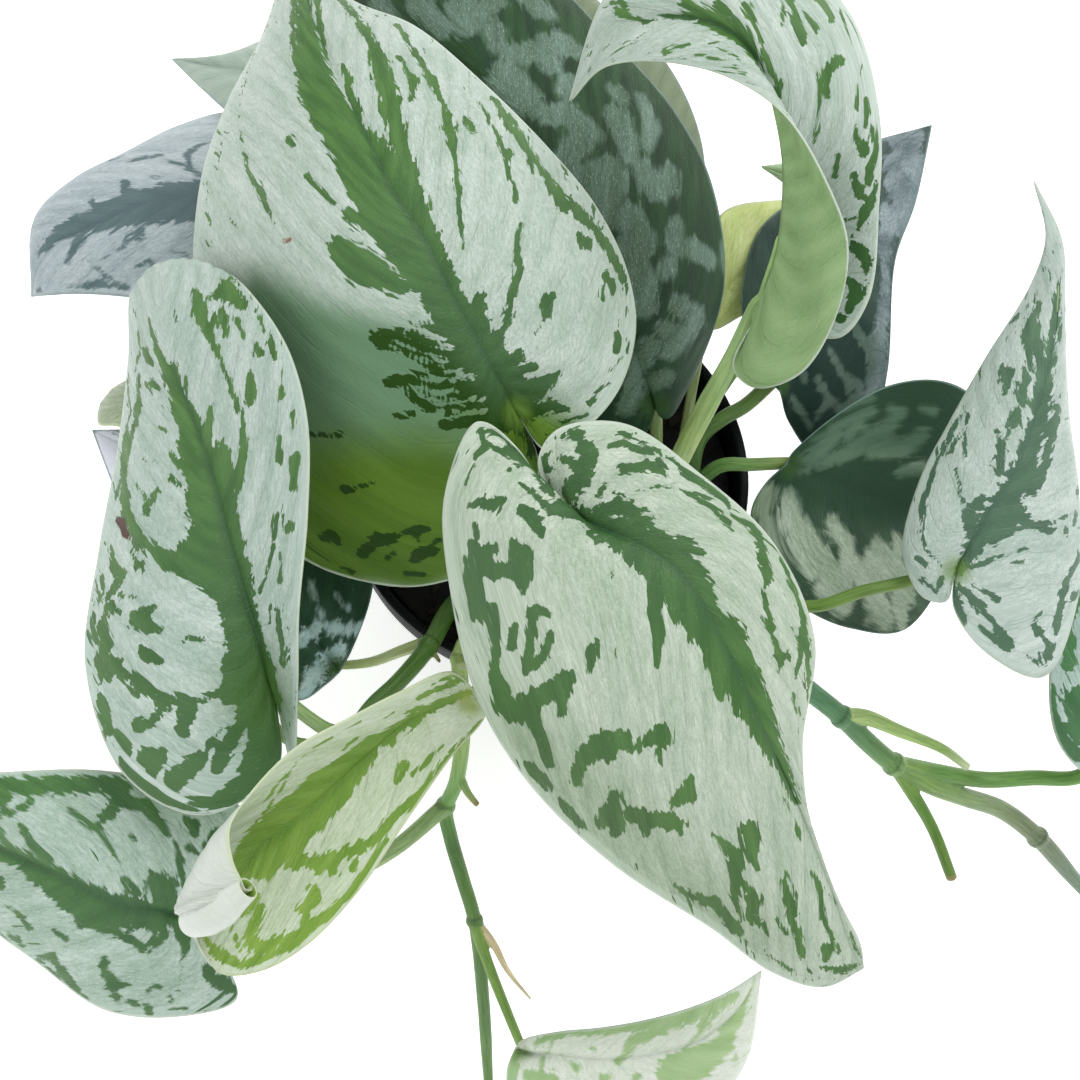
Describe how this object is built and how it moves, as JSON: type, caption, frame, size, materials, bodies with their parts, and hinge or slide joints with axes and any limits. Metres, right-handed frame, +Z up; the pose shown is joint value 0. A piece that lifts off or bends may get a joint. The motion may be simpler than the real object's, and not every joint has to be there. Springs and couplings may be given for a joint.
{
  "type": "satin pothos in a nursery pot",
  "caption": "Satin pothos, a trailing aroid house plant with broad heart-shaped leaves splashed silver over green, growing from potting mix in a small black nursery pot.",
  "frame": {"origin": "middle of the pot's foot, on the surface it stands on", "axes": "+Z up, +X to the plant's right, -Y to its front, where the longest vines trail over the rim"},
  "size_m": [0.3446, 0.3494, 0.2033],
  "materials": {
    "pot_plastic": "black moulded plastic, dull satin",
    "potting_mix": "loose peat and bark, matt",
    "stem": "smooth green stem, satin",
    "leaf_silver": "silver satin splashed over green",
    "leaf_shaded": "dark green with dull silver splashes",
    "leaf_grey": "grey silver satin over slate green",
    "leaf_young": "fresh yellow green, satin"
  },
  "bodies": {
    "root": {"pot": "pot_plastic", "soil": "potting_mix", "crown_stem_back": "stem", "crown_stem_front": "stem", "crown_stem_upright": "stem", "crown_stem_right": "stem", "vine_left": "stem", "vine_front": "stem", "vine_right": "stem", "leaf_crown_back": "leaf_silver", "leaf_crown_front": "leaf_silver", "leaf_left": "leaf_silver", "leaf_young": "leaf_young", "leaf_low_left": "leaf_silver", "leaf_back_dark": "leaf_shaded", "leaf_curled": "leaf_silver", "leaf_right_upper": "leaf_shaded", "leaf_right_lower": "leaf_shaded", "leaf_right_tall": "leaf_silver", "leaf_right_edge": "leaf_silver", "leaf_far_left": "leaf_grey", "leaf_front_low": "leaf_silver", "leaf_under_left": "leaf_shaded", "leaf_far_left_tip": "leaf_grey", "leaf_back_pale": "leaf_shaded", "leaf_inner_young": "leaf_young", "leaf_hidden_left": "leaf_young", "leaf_inner_tip": "leaf_young"}
  },
  "joints": []
}
